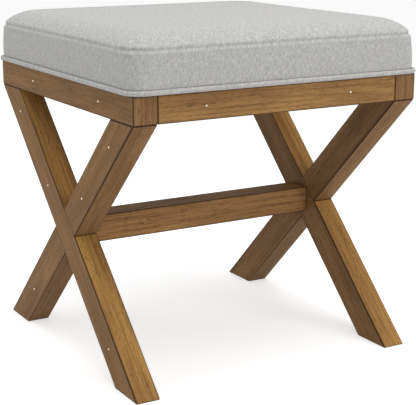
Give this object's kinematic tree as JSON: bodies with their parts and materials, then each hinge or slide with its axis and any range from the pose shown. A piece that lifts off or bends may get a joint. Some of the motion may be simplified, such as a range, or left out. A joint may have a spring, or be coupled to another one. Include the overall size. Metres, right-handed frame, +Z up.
{
  "type": "vanity stool",
  "caption": "Square vanity stool with crossed straight legs under wooden rails, a stretcher between the crossings and a boxed fabric cushion with a welt at its foot.",
  "frame": {"origin": "on the floor, in the middle of the four feet", "axes": "+Z up, +Y to the back, +X to the right as seen from the front; the crossed legs lie in planes square to X"},
  "size_m": [0.4468, 0.4468, 0.4719],
  "materials": {
    "stained_wood": "satin, warm brown stain with dark glaze along the edges",
    "plain_wood": "sawn, unfinished",
    "dowel_wood": "turned beech, unfinished",
    "plywood": "sanded plywood, unfinished",
    "zinc_plated_steel": "bright zinc plate",
    "brass_pins": "polished",
    "linen_cover": "woven linen look, light grey",
    "polyester_wadding": "soft white fibre",
    "seat_foam": "open-cell foam, cream",
    "black_cambric": "thin black woven cloth, matte"
  },
  "bodies": {
    "root": {"apron_dowels": "dowel_wood", "apron_pins": "brass_pins", "back_apron": "stained_wood", "corner_block_back_left": "plain_wood", "corner_block_back_right": "plain_wood", "corner_block_front_left": "plain_wood", "corner_block_front_right": "plain_wood", "corner_block_screws": "zinc_plated_steel", "cover_side_band": "linen_cover", "cover_top_panel": "linen_cover", "cover_turnover": "linen_cover", "dust_cover": "black_cambric", "foam_core": "seat_foam", "front_apron": "stained_wood", "left_frame_pins": "brass_pins", "left_leg_back_foot": "stained_wood", "left_leg_front_foot": "stained_wood", "left_side_rail": "stained_wood", "leg_dowels": "dowel_wood", "right_frame_pins": "brass_pins", "right_leg_back_foot": "stained_wood", "right_leg_front_foot": "stained_wood", "right_side_rail": "stained_wood", "seat_board": "plywood", "seat_screws": "zinc_plated_steel", "stretcher": "stained_wood", "stretcher_dowels": "dowel_wood", "wadding": "polyester_wadding", "welt_cord": "linen_cover"}
  },
  "joints": []
}
